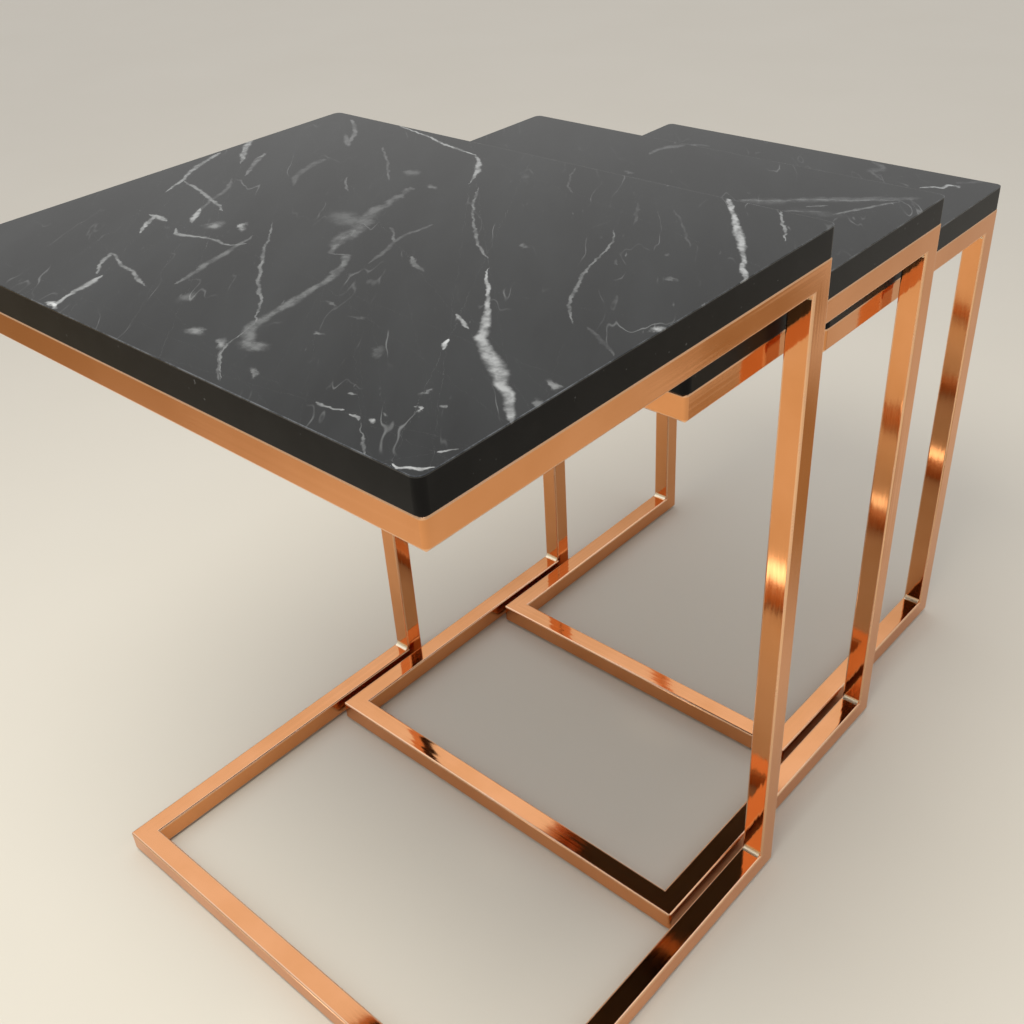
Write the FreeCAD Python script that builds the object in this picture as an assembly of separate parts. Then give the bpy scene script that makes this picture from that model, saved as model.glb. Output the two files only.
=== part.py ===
import FreeCAD, Part
import math
import os

# A set of three nesting side tables. Each one is a C-shaped frame of square steel tube, welded and
# plated, that carries a marble-faced board. The frame stands on two side rails and a front rail at
# floor level, has its two legs at the back, and is open at the front and between its legs, so the
# next smaller table slides in from behind, under the top.
#
# Units are millimetres. X runs across the tables, Y from the open front to the legs (the smaller
# tables are drawn out towards +Y), Z is up. The origin is on the floor, at the centre of the set.

Vector = FreeCAD.Vector

# The large table
LARGE_WIDTH = 480.0
LARGE_DEPTH = 374.0
LARGE_HEIGHT = 611.0

# The depths of the tables that nest in it
MEDIUM_DEPTH = 356.0
SMALL_DEPTH = 318.0

# How the tables fit inside each other
SIDE_CLEARANCE = 6.0        # from a table's top to the inner face of the frame around it
MEDIUM_HEADROOM = 14.0      # from the medium top up to the large apron
SMALL_HEADROOM = 10.0       # from the small top up to the medium apron
NEST_GAP = 1.0              # between base front rails when one table is pushed home

# How far each table is drawn out of the one around it, from its pushed-home place
MEDIUM_PULL = 228.0
SMALL_PULL = 207.0

# Square tube of the frames
TUBE = 20.0
TUBE_WALL = 1.5
TUBE_ARRIS = 2.0            # outside radius along the tube's edges
GROUND_CORNER = 3.5         # rounding left by grinding the mitred outside corners
GRIND_PER_WALL = 2.3        # most rounding, in wall thicknesses, that leaves a mitre closed
WELD_FILLET = 4.0           # leg of the polished weld inside each leg corner

# Board of the tops
TOP_OVERHANG = 0.5          # of the board beyond the frame, on every side
TOP_CORNER_RADIUS = 6.0     # in plan
CORE_THICKNESS = 20.0
FACE_THICKNESS = 1.0        # marble-look sheet on top
BACKER_THICKNESS = 1.0      # plain balancing sheet underneath
EDGE_BAND = 1.0
FACE_ARRIS = 0.4            # easing of the face sheet's top edge

# Angle tabs that hold the board to the side rails of the apron
TAB_SHEET = 2.0
TAB_LENGTH = 26.0           # along the rail
TAB_REACH = 24.0            # in under the board
TAB_DROP = 15.0             # down the inner face of the rail
TAB_INSET = 64.0            # from the frame's front and back to the middle of a tab
TAB_HOLE_CLEARANCE = 0.5    # all round the screw's shank

# Pan-head screws, up through the tabs into the core
SCREW_SHANK = 4.0
SCREW_LENGTH = 16.0
SCREW_HEAD = 8.0
SCREW_HEAD_HEIGHT = 2.4
SCREW_HEAD_EASING = 1.0
SCREW_SLOT = 1.1            # width of each arm of the cross recess
SCREW_SLOT_DEPTH = 1.3
PILOT_CLEARANCE = 0.05      # all round the shank

# Rubber pads stuck under the base
PAD_DIAMETER = 14.0
PAD_HEIGHT = 2.0
PAD_EASING = 0.5
PAD_INSET = 26.0            # from the frame's front and back

BOARD_THICKNESS = CORE_THICKNESS + FACE_THICKNESS + BACKER_THICKNESS
PILOT_RADIUS = SCREW_SHANK / 2 + PILOT_CLEARANCE
TAB_HOLE_RADIUS = SCREW_SHANK / 2 + TAB_HOLE_CLEARANCE
NEST_STEP = TUBE + NEST_GAP
RIGHT = Vector(1, 0, 0)
BACK = Vector(0, 1, 0)
UP = Vector(0, 0, 1)


def rounded_outline(width, depth, radius):
    """A rectangle with rounded corners, centred on the origin in the XY plane."""
    x = width / 2
    y = depth / 2
    bow = radius * (1 - math.sqrt(0.5))
    edges = []
    for angle, along, across in ((0, x, y), (90, y, x), (180, x, y), (270, y, x)):
        start = Vector(along, -across + radius, 0)
        end = Vector(along, across - radius, 0)
        turn_mid = Vector(along - bow, across - bow, 0)
        turn_end = Vector(along - radius, across, 0)
        side = [Part.LineSegment(start, end).toShape(), Part.Arc(end, turn_mid, turn_end).toShape()]
        for edge in side:
            edge.rotate(Vector(), UP, angle)
            edges.append(edge)
    return Part.Wire(edges)


def rounded_plate(width, depth, radius, thickness, centre):
    """A flat plate with rounded corners, its underside centred on a point."""
    plate = Part.Face(rounded_outline(width, depth, radius)).extrude(UP * thickness)
    plate.translate(centre)
    return plate


def tube(start, end):
    """A length of hollow square tube between two points on its centre line."""
    run = end - start
    outside = Part.Face(rounded_outline(TUBE, TUBE, TUBE_ARRIS))
    bore_width = TUBE - 2 * TUBE_WALL
    bore_radius = max(TUBE_ARRIS - TUBE_WALL, TUBE_WALL / 3)
    bore = Part.Face(rounded_outline(bore_width, bore_width, bore_radius))
    shape = outside.extrude(UP * run.Length).cut(bore.extrude(UP * run.Length))
    shape.Placement = FreeCAD.Placement(start, FreeCAD.Rotation(UP, run))
    return shape


def saw(shape, point, normal):
    """Cut away what lies beyond a plane, on the side that the normal points to."""
    reach = 3 * TUBE
    waste = Part.makeBox(2 * reach, 2 * reach, reach, Vector(-reach, -reach, 0))
    waste.Placement = FreeCAD.Placement(point, FreeCAD.Rotation(UP, normal)).multiply(waste.Placement)
    return shape.cut(waste)


def cove(corner, side_a, side_b, radius, width):
    """The piece between a square corner and a round of that radius, as long as the width.

    It is the weld metal in an inside corner, and the metal ground off an outside one.
    """
    start = corner + side_a * radius
    end = corner + side_b * radius
    diagonal = (side_a + side_b).normalize()
    middle = corner + diagonal * (radius * (math.sqrt(2) - 1))
    section = Part.Wire([
        Part.LineSegment(corner, start).toShape(),
        Part.Arc(start, middle, end).toShape(),
        Part.LineSegment(end, corner).toShape(),
    ])
    along = side_a.cross(side_b)
    piece = Part.Face(section).extrude(along * width)
    piece.translate(along * (-width / 2))
    return piece


def grind(shape, corner, side_a, side_b):
    """Round one outside corner of the frame."""
    radius = min(GROUND_CORNER, GRIND_PER_WALL * TUBE_WALL)
    return shape.cut(cove(corner, side_a, side_b, radius, 2 * TUBE))


def mirrored(shape):
    """The same piece on the other side of the table."""
    return shape.mirror(Vector(), RIGHT)


def save(node, *solids):
    shape = solids[0] if len(solids) == 1 else Part.makeCompound(list(solids))
    shape.exportStep(os.path.join("parts", node + ".step"))


def frame_rails(name, half_width, front, back, base, top):
    """The tubes of one frame, between the given outside faces, mitred where two ends meet."""
    half = TUBE / 2
    side = half_width - half
    foot = Vector(side, back, base)
    foot_mitre = Vector(0, 1, 1)
    head = Vector(side, back, top)
    head_mitre = Vector(0, 1, -1)
    high = top - half

    for rail, height in (("apron", high), ("base", base + half)):
        right_corner = Vector(half_width, front, height)
        left_corner = Vector(-half_width, front, height)
        corner_mitre = Vector(1, 1, 0)

        across = tube(left_corner + BACK * half, right_corner + BACK * half)
        across = saw(across, right_corner, corner_mitre)
        across = saw(across, left_corner, Vector(-1, 1, 0))
        across = grind(across, right_corner, RIGHT * -1, BACK)
        across = grind(across, left_corner, RIGHT, BACK)
        save(f"{name}_{rail}_front", across)

        along = tube(Vector(side, front, height), Vector(side, back, height))
        along = saw(along, right_corner, corner_mitre * -1)
        along = grind(along, right_corner, RIGHT * -1, BACK)
        if rail == "apron":
            along = saw(along, head, head_mitre)
            along = grind(along, head, BACK * -1, UP * -1)
        else:
            along = saw(along, foot, foot_mitre)
            along = grind(along, foot, BACK * -1, UP)
        save(f"{name}_{rail}_right", along)
        save(f"{name}_{rail}_left", mirrored(along))

    leg = tube(Vector(side, back - half, base), Vector(side, back - half, top))
    leg = saw(leg, foot, foot_mitre * -1)
    leg = saw(leg, head, head_mitre * -1)
    leg = grind(leg, foot, BACK * -1, UP)
    leg = grind(leg, head, BACK * -1, UP * -1)
    save(f"{name}_leg_right", leg)
    save(f"{name}_leg_left", mirrored(leg))

    inner = half_width - TUBE
    save(f"{name}_apron_back", tube(Vector(-inner, back - half, high), Vector(inner, back - half, high)))


def weld_fillets(name, half_width, back, base, top):
    """Polished welds in the inside corners of both legs, at the foot and under the apron."""
    width = TUBE - 2 * TUBE_ARRIS
    side = half_width - TUBE / 2
    face = back - TUBE
    foot = cove(Vector(side, face, base + TUBE), BACK * -1, UP, WELD_FILLET, width)
    head = cove(Vector(side, face, top - TUBE), BACK * -1, UP * -1, WELD_FILLET, width)
    save(f"{name}_weld_fillets", foot, head, mirrored(foot), mirrored(head))


def tab_places(half_width, front, back):
    """Where the right-hand tabs stand on the inner face of the side rail."""
    inner = half_width - TUBE
    return [(inner, front + TAB_INSET), (inner, back - TAB_INSET)]


def screw_places(places):
    """Screw centres of the right-hand tabs."""
    return [(x - TAB_REACH / 2 - TAB_SHEET / 2, y) for x, y in places]


def fixing_tabs(name, places, seat):
    """Folded angle tabs, one flange welded to the rail and one flat under the board."""
    tabs = []
    for x, y in places:
        start = y - TAB_LENGTH / 2
        under = seat - TAB_SHEET
        flat = Part.makeBox(TAB_REACH, TAB_LENGTH, TAB_SHEET, Vector(x - TAB_REACH, start, under))
        flange_corner = Vector(x - TAB_SHEET, start, seat - TAB_DROP)
        flange = Part.makeBox(TAB_SHEET, TAB_LENGTH, TAB_DROP, flange_corner)
        tab = flat.fuse(flange).removeSplitter()
        hole_x, hole_y = screw_places([(x, y)])[0]
        hole = Part.makeCylinder(TAB_HOLE_RADIUS, TAB_SHEET, Vector(hole_x, hole_y, under))
        tab = tab.cut(hole)
        tabs += [tab, mirrored(tab)]
    save(f"{name}_fixing_tabs", *tabs)


def screw(x, y, seat):
    """A pan-head screw standing upright, with the underside of its head on the tab at seat."""
    head = Part.makeCylinder(SCREW_HEAD / 2, SCREW_HEAD_HEIGHT, Vector(x, y, seat - SCREW_HEAD_HEIGHT))
    rim = [edge for edge in head.Edges if edge.BoundBox.ZMax < seat - SCREW_HEAD_HEIGHT / 2]
    head = head.makeFillet(SCREW_HEAD_EASING, rim)
    shank = Part.makeCylinder(SCREW_SHANK / 2, SCREW_LENGTH, Vector(x, y, seat))
    body = head.fuse(shank)
    bottom = seat - SCREW_HEAD_HEIGHT
    for length, width in ((SCREW_SHANK, SCREW_SLOT), (SCREW_SLOT, SCREW_SHANK)):
        corner = Vector(x - length / 2, y - width / 2, bottom)
        body = body.cut(Part.makeBox(length, width, SCREW_SLOT_DEPTH, corner))
    return body


def board(name, width, depth, middle, underside, holes):
    """The top: core, balancing sheet, edge band round both, and the marble-look face over all."""
    core_width = width - 2 * EDGE_BAND
    core_depth = depth - 2 * EDGE_BAND
    core_radius = TOP_CORNER_RADIUS - EDGE_BAND
    core_base = underside + BACKER_THICKNESS
    face_base = core_base + CORE_THICKNESS
    place = Vector(0, middle, underside)

    backer = rounded_plate(core_width, core_depth, core_radius, BACKER_THICKNESS, place)
    core = rounded_plate(core_width, core_depth, core_radius, CORE_THICKNESS, Vector(0, middle, core_base))
    pilot_depth = SCREW_LENGTH - TAB_SHEET + SCREW_SHANK / 2
    for x, y in holes:
        for hole_x in (x, -x):
            pilot = Part.makeCylinder(PILOT_RADIUS, pilot_depth, Vector(hole_x, y, underside))
            backer = backer.cut(pilot)
            core = core.cut(pilot)
    save(f"{name}_top_backer", backer)
    save(f"{name}_top_core", core)

    band_height = BACKER_THICKNESS + CORE_THICKNESS
    outside = rounded_plate(width, depth, TOP_CORNER_RADIUS, band_height, place)
    inside = rounded_plate(core_width, core_depth, core_radius, band_height, place)
    save(f"{name}_top_edging", outside.cut(inside))

    face = rounded_plate(width, depth, TOP_CORNER_RADIUS, FACE_THICKNESS, Vector(0, middle, face_base))
    surface = face_base + FACE_THICKNESS
    upper = [edge for edge in face.Edges if edge.BoundBox.ZMin > surface - FACE_THICKNESS / 2]
    save(f"{name}_top_face", face.makeFillet(FACE_ARRIS, upper))


def floor_pads(name, half_width, front, back):
    """Round pads under both side rails of the base."""
    pads = []
    for y in (front + PAD_INSET, back - PAD_INSET):
        pad = Part.makeCylinder(PAD_DIAMETER / 2, PAD_HEIGHT, Vector(half_width - TUBE / 2, y, 0))
        rim = [edge for edge in pad.Edges if edge.BoundBox.ZMax < PAD_HEIGHT / 2]
        pad = pad.makeChamfer(PAD_EASING, rim)
        pads += [pad, mirrored(pad)]
    save(f"{name}_floor_pads", *pads)


def table(name, width, depth, height, edge):
    """One whole table, the front edge of its top at Y = edge."""
    underside = height - BOARD_THICKNESS
    half_width = width / 2 - TOP_OVERHANG
    front = edge + TOP_OVERHANG
    back = edge + depth - TOP_OVERHANG
    frame_rails(name, half_width, front, back, PAD_HEIGHT, underside)
    weld_fillets(name, half_width, back, PAD_HEIGHT, underside)
    places = tab_places(half_width, front, back)
    fixing_tabs(name, places, underside)
    holes = screw_places(places)
    head_seat = underside - TAB_SHEET
    screws = [screw(sign * x, y, head_seat) for x, y in holes for sign in (1, -1)]
    save(f"{name}_fixing_screws", *screws)
    board(name, width, depth, edge + depth / 2, underside, holes)
    floor_pads(name, half_width, front, back)


os.makedirs("parts", exist_ok=True)

# A smaller table's top clears the inner faces of the frame around it, and passes under its apron
width_step = 2 * (TOP_OVERHANG + TUBE + SIDE_CLEARANCE)
medium_width = LARGE_WIDTH - width_step
small_width = medium_width - width_step
height_step = BOARD_THICKNESS + TUBE
medium_height = LARGE_HEIGHT - height_step - MEDIUM_HEADROOM
small_height = medium_height - height_step - SMALL_HEADROOM

# Pushed home, a base front rail stands one step behind the next; drawn out, it is further back
medium_edge = NEST_STEP + MEDIUM_PULL
small_edge = medium_edge + NEST_STEP + SMALL_PULL
overall = max(LARGE_DEPTH, medium_edge + MEDIUM_DEPTH, small_edge + SMALL_DEPTH)
large_edge = -overall / 2

table("large", LARGE_WIDTH, LARGE_DEPTH, LARGE_HEIGHT, large_edge)
table("medium", medium_width, MEDIUM_DEPTH, medium_height, large_edge + medium_edge)
table("small", small_width, SMALL_DEPTH, small_height, large_edge + small_edge)
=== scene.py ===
import math

import bmesh
import bpy
from mathutils import Matrix, Vector


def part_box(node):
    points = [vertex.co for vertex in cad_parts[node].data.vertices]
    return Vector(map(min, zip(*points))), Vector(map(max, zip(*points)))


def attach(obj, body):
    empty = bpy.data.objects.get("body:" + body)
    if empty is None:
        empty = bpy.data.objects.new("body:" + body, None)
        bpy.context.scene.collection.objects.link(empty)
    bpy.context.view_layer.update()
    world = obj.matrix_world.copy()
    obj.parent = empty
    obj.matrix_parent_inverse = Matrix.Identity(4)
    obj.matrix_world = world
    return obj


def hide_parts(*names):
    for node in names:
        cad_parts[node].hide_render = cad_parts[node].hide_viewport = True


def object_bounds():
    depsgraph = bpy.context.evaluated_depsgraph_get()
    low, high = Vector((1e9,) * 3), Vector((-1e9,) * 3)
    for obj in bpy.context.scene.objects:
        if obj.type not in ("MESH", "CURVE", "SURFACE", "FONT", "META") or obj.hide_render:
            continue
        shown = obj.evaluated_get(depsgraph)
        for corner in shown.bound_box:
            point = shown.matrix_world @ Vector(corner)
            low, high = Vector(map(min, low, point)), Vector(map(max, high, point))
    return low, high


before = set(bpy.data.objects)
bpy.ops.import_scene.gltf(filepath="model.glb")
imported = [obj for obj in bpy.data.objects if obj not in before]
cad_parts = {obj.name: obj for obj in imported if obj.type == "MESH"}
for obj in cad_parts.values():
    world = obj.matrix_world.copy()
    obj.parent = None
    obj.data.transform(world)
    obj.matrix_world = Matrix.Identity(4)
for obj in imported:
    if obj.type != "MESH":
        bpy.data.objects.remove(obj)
cad_low, cad_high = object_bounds()
scene = bpy.context.scene


# --------------------------------------------------------------------
# Base rails
# Each frame stands on a front rail and two side rails of square steel tube, 1.5 mm in the wall.
# They are sawn to 45 degrees where two lengths meet, welded, and their outside corners ground
# round. The whole frame is then polished to a mirror and plated in rose gold.
TABLES = ("large", "medium", "small")
TUBE_WALL = 0.0015
TUBE_ARRIS = 0.002
BORE_ARRIS = 0.0005
GROUND_CORNER = 0.00345
ARRIS_STEPS = 6
GROUND_STEPS = 8
QUARTER = math.radians(90)
MITRE_TURN = QUARTER / 2
RIM_SHARE = 0.8             # how much of an arris counts as its rim
ALONG_TO_ACROSS = 60        # how much longer than wide the polishing marks on a tube are
SMOOTH_BELOW = math.radians(25)
FLATS_WEIGHT = 100          # how strongly flat faces rule the shading of the arrises beside them
WELD_SHUT = 1e-6            # points closer than this are one point

PLATING_DEEP = (0.715, 0.306, 0.115)
PLATING_PALE = (0.775, 0.346, 0.142)
# painted highlight: a paler tone laid along every arris, for the bright lines the rounded edges catch
PLATING_ARRIS_HIGHLIGHT = (0.95, 0.64, 0.40)
PLATING_RUBBED = (0.82, 0.50, 0.34)
PLATING_DULLNESS = 0.05
PLATING_RELIEF = 0.0002

RIGHT, BACK, UP = Vector((1, 0, 0)), Vector((0, 1, 0)), Vector((0, 0, 1))
LEFT, FRONT, DOWN = -RIGHT, -BACK, -UP


def plug(tree, node, key, value):
    """Gives one input of a node a link, a colour or a plain value."""
    socket = node.inputs[key]
    if isinstance(value, bpy.types.NodeSocket):
        tree.links.new(value, socket)
    elif socket.type == "RGBA":
        socket.default_value = (*value, 1)
    else:
        socket.default_value = value


def add(tree, kind, inputs=(), **settings):
    """One node, with its settings, and each input named given a value or a link."""
    node = tree.nodes.new(kind)
    for setting, value in settings.items():
        setattr(node, setting, value)
    for key, value in dict(inputs).items():
        plug(tree, node, key, value)
    return node


def sums(tree, operation, first, second=0.0, third=0.0):
    """A Math node's result."""
    node = add(tree, "ShaderNodeMath", {0: first, 1: second, 2: third}, operation=operation)
    return node.outputs["Value"]


def plus(tree, start, *parts):
    """A value with a share of each mask added to it."""
    for mask, share in parts:
        start = sums(tree, "MULTIPLY_ADD", mask, share, start)
    return start


def ramp(tree, value, low, high, to_low=0.0, to_high=1.0):
    """The value carried from one range into another, with soft ends."""
    node = add(tree, "ShaderNodeMapRange", {
        "Value": value, "From Min": low, "From Max": high, "To Min": to_low, "To Max": to_high,
    }, interpolation_type="SMOOTHSTEP")
    return node.outputs["Result"]


def blend(tree, share, first, second):
    """One colour laid over another by a mask."""
    return add(tree, "ShaderNodeMix", {0: share, 6: first, 7: second}, data_type="RGBA").outputs[2]


def noise(tree, vector, scale, detail=2.0, roughness=0.5, output="Fac"):
    """A cloudy pattern with features about 1 / scale metres across."""
    node = add(tree, "ShaderNodeTexNoise", {
        "Vector": vector, "Scale": scale, "Detail": detail, "Roughness": roughness,
    })
    return node.outputs[output]


def shader_group(name, inputs, outputs):
    """An empty node group with the named sockets: the group, what it is given, and what it makes."""
    group = bpy.data.node_groups.new(name, "ShaderNodeTree")
    for label, value in inputs.items():
        kind = "NodeSocketVector" if isinstance(value, tuple) else "NodeSocketFloat"
        group.interface.new_socket(label, in_out="INPUT", socket_type=kind).default_value = value
    for label, kind in outputs.items():
        group.interface.new_socket(label, in_out="OUTPUT", socket_type="NodeSocket" + kind)
    given, made = group.nodes.new("NodeGroupInput"), group.nodes.new("NodeGroupOutput")
    return group, given.outputs, made.inputs


def placed(tree, group, inputs):
    """A node group put into a material with its own values."""
    return add(tree, "ShaderNodeGroup", inputs, node_tree=group).outputs


def finish_material(name):
    """A new material, its node tree, and places on the piece."""
    material = bpy.data.materials.new(name)
    material.use_nodes = True
    place = add(material.node_tree, "ShaderNodeTexCoord").outputs["Object"]
    return material, material.node_tree, place


def shaded(tree, inputs):
    """Gives a material's shader its inputs."""
    for key, value in inputs.items():
        plug(tree, tree.nodes["Principled BSDF"], key, value)


def surfaced(tree, tone, dulled, height, strength, depth, **constants):
    """Gives the shader its colour, its roughness, its relief, and what is the same all over."""
    bump = add(tree, "ShaderNodeBump", {"Height": height, "Strength": strength, "Distance": depth})
    shaded(tree, {"Base Color": tone, "Roughness": dulled, "Normal": bump.outputs["Normal"], **constants})


def wear_group():
    """Rubbed places along a piece's edges, from its own rim attribute, broken up by noise."""
    group, given, made = shader_group(
        "edge_wear", {"Position": (0, 0, 0), "Rim": 0.0, "Amount": 0.5}, {"Mask": "Float"},
    )
    coarse = noise(group, given["Position"], 45.0, 3.0, 0.6)
    fine = noise(group, given["Position"], 700.0, 2.0, 0.6)
    worn = ramp(group, plus(group, coarse, (fine, 0.35)), 0.55, 0.9)
    edge = sums(group, "MULTIPLY", worn, given["Rim"])
    group.links.new(sums(group, "MULTIPLY", edge, given["Amount"]), made["Mask"])
    return group


def buffing_group():
    """Marks along a piece, fine from the wheel and broad from the tube mill, with haze and waves."""
    group, given, made = shader_group(
        "buffing", {"Position": (0, 0, 0), "Grain": (0, 0, 0)},
        {"Streaks": "Float", "Draw lines": "Float", "Haze": "Float", "Wave": "Float"},
    )
    streaks = noise(group, given["Grain"], 1400.0, 3.0, 0.65)
    haze = noise(group, given["Position"], 16.0, 3.0, 0.5)
    group.links.new(ramp(group, streaks, 0.35, 0.75), made["Streaks"])
    group.links.new(noise(group, given["Grain"], 230.0, 1.0, 0.4), made["Draw lines"])
    group.links.new(ramp(group, haze, 0.3, 0.7), made["Haze"])
    group.links.new(noise(group, given["Position"], 22.0, 1.0, 0.4), made["Wave"])
    return group


edge_wear, buffing = wear_group(), buffing_group()


def worn_edges(tree, place, amount):
    """A piece's own rim mask, and the rubbed parts of it."""
    rim = add(tree, "ShaderNodeAttribute", attribute_name="rim").outputs["Fac"]
    return rim, placed(tree, edge_wear, {"Position": place, "Rim": rim, "Amount": amount})["Mask"]


def rose_gold_plating(name, deep, pale, dullness):
    """Copper-toned plating over polished steel, clouded between two close tones."""
    material, tree, place = finish_material(name)
    grain = add(tree, "ShaderNodeAttribute", attribute_name="grain").outputs["Vector"]
    polish = placed(tree, buffing, {"Position": place, "Grain": grain})
    rim, wear = worn_edges(tree, place, 0.5)
    tone = blend(tree, polish["Haze"], deep, pale)
    # painted highlight: every arris turned paler, for the bright lines along the edges
    tone = blend(tree, sums(tree, "MULTIPLY", rim, 0.6), tone, PLATING_ARRIS_HIGHLIGHT)
    tone = blend(tree, wear, tone, PLATING_RUBBED)
    dulled = plus(
        tree, dullness, (polish["Streaks"], 0.05), (polish["Haze"], 0.02), (rim, 0.14), (wear, 0.12),
    )
    relief = plus(tree, polish["Wave"], (polish["Streaks"], 0.006), (polish["Draw lines"], 0.38))
    surfaced(tree, tone, dulled, relief, 1.0, PLATING_RELIEF, Metallic=1.0)
    return material


rose_gold = rose_gold_plating("rose_gold_plating", PLATING_DEEP, PLATING_PALE, PLATING_DULLNESS)


def turns(steps, start=0.0, end=QUARTER):
    """An angle in even steps, both ends included."""
    return [start + (end - start) * step / steps for step in range(steps + 1)]


def rounded_section(half_a, half_b, radius, steps):
    """Points round a rectangle with rounded corners, from its centre, anticlockwise."""
    points = []
    for quarter, (a_side, b_side) in enumerate(((1, 1), (-1, 1), (-1, -1), (1, -1))):
        for turn in turns(steps):
            turn += quarter * QUARTER
            points.append((
                a_side * (half_a - radius) + radius * math.cos(turn),
                b_side * (half_b - radius) + radius * math.sin(turn),
            ))
    return points


def joined(mesh, rings, closed):
    """Faces from each ring of points to the next. A closed run comes round again, others get ends."""
    pairs = list(zip(rings, rings[1:]))
    faces = []
    if closed:
        pairs.append((rings[-1], rings[0]))
    else:
        faces += [mesh.faces.new(rings[0][::-1]), mesh.faces.new(rings[-1])]
    for near, far in pairs:
        for j in range(len(near)):
            faces.append(mesh.faces.new((near[j - 1], near[j], far[j], far[j - 1])))
    return faces


def grained(mesh, axis=None):
    """Gives each point the place its polishing marks are read at, drawn out along an axis."""
    grain = mesh.verts.layers.float_vector.new("grain")
    for vert in mesh.verts:
        drawn = vert.co.copy()
        if axis is not None:
            drawn[axis] /= ALONG_TO_ACROSS
        vert[grain] = drawn


def sawn_tube(low, high, axis, low_outer=None, high_outer=None):
    """A length of tube that fills a box along an axis, as a bmesh.

    low_outer and high_outer point to the long side of each mitre. An end with neither is sawn square.
    """
    half = (high - low)[(axis + 1) % 3] / 2
    across, over = Vector(), Vector()
    across[(axis + 1) % 3] = over[(axis + 2) % 3] = 1.0
    centre = (low + high) / 2
    ground_off = GROUND_CORNER * (1 - math.cos(MITRE_TURN))
    start = low[axis] - (ground_off if low_outer else 0)
    end = high[axis] + (ground_off if high_outer else 0)
    mesh = bmesh.new()

    def ring(section, tip, inwards, outer, turn):
        """The section's points near one end, cut by the mitre and, at a turn, by the ground corner."""
        made = []
        for a, b in section:
            offset = across * a + over * b
            reach = 0.0
            if outer:
                depth = half - offset.dot(outer)
                ground = GROUND_CORNER * (1 - math.cos(turn)) if turn is not None else 0.0
                reach = max(depth, ground)
                offset = offset - outer * (reach - depth)
                if turn is not None:
                    reach = max(reach, GROUND_CORNER * (1 - math.sin(turn)))
            point = centre + offset
            point[axis] = tip + inwards * reach
            made.append(mesh.verts.new(point))
        return made

    skin = rounded_section(half, half, TUBE_ARRIS, ARRIS_STEPS)
    bore = rounded_section(half - TUBE_WALL, half - TUBE_WALL, BORE_ARRIS, ARRIS_STEPS)
    sweep = turns(GROUND_STEPS, 0.0, MITRE_TURN)
    rings = [ring(skin, start, 1, low_outer, turn) for turn in (sweep[::-1] if low_outer else [0])]
    rings += [ring(skin, end, -1, high_outer, turn) for turn in (sweep if high_outer else [0])]
    rings += [ring(bore, end, -1, high_outer, None), ring(bore, start, 1, low_outer, None)]
    joined(mesh, rings, closed=True)
    bmesh.ops.remove_doubles(mesh, verts=mesh.verts, dist=WELD_SHUT)
    bmesh.ops.dissolve_degenerate(mesh, edges=mesh.edges, dist=WELD_SHUT)

    grained(mesh, axis)
    rim = mesh.verts.layers.float.new("rim")
    for vert in mesh.verts:
        aside = vert.co - centre
        edge = min(abs(aside[(axis + 1) % 3]), abs(aside[(axis + 2) % 3]))
        vert[rim] = 1.0 if edge > half - TUBE_ARRIS * RIM_SHARE else 0.0
    return mesh


def mesh_data(name, mesh):
    """A finished bmesh turned into mesh data."""
    data = bpy.data.meshes.new(name)
    mesh.to_mesh(data)
    mesh.free()
    return data


def set_down(name, data):
    """A new object in the scene."""
    thing = bpy.data.objects.new(name, data)
    scene.collection.objects.link(thing)
    return thing


def made_piece(node, word, mesh, material):
    """Turns a finished bmesh into a piece that rides on its table and stands for its CAD node."""
    piece = set_down(f"{node}_{word}", mesh_data(f"{node}_{word}", mesh))
    piece.data.materials.append(material)
    piece.data.shade_smooth()
    piece.data.set_sharp_from_angle(angle=SMOOTH_BELOW)
    even = piece.modifiers.new("even_flats", "WEIGHTED_NORMAL")
    even.keep_sharp = True
    even.weight = FLATS_WEIGHT
    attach(piece, node.split("_")[0] + "_table")
    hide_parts(node)
    return piece


def frame_tube(node, axis, low_outer=None, high_outer=None):
    """One tube of a frame, in place of its CAD node."""
    mesh = sawn_tube(*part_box(node), axis, low_outer, high_outer)
    return made_piece(node, "tube", mesh, rose_gold)


for table in TABLES:
    frame_tube(f"{table}_base_front", 0, FRONT, FRONT)
    frame_tube(f"{table}_base_right", 1, RIGHT, DOWN)
    frame_tube(f"{table}_base_left", 1, LEFT, DOWN)


# --------------------------------------------------------------------
# Legs
# Two upright tubes at the back of each frame, of the same stock as the base. Both ends are sawn
# to 45 degrees and meet the side rails, so no end of a tube is open.
for table in TABLES:
    frame_tube(f"{table}_leg_right", 2, BACK, BACK)
    frame_tube(f"{table}_leg_left", 2, BACK, BACK)


# --------------------------------------------------------------------
# Apron rails
# Four tubes under the board: front and sides mitred like the base, and a back rail cut square
# and welded between the legs.
for table in TABLES:
    frame_tube(f"{table}_apron_front", 0, FRONT, FRONT)
    frame_tube(f"{table}_apron_right", 1, RIGHT, UP)
    frame_tube(f"{table}_apron_left", 1, LEFT, UP)
    frame_tube(f"{table}_apron_back", 0)


# --------------------------------------------------------------------
# Weld fillets
# The welds in the inside corners of both legs, at the foot and under the apron. They are dressed
# to a small hollow curve and plated with the frame. They are duller than the tubes, and their paler
# colour is a painted highlight.
WELD_LEG = 0.004
WELD_STEPS = 12
# painted highlight: pale tones standing in for the bright highlights the welds catch
WELD_HIGHLIT_DEEP = (0.97, 0.78, 0.50)
WELD_HIGHLIT_PALE = (1.0, 0.88, 0.64)
WELD_DULLNESS = 0.34
highlit_weld_gold = rose_gold_plating("rose_gold_over_welds", WELD_HIGHLIT_DEEP, WELD_HIGHLIT_PALE, WELD_DULLNESS)


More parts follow.
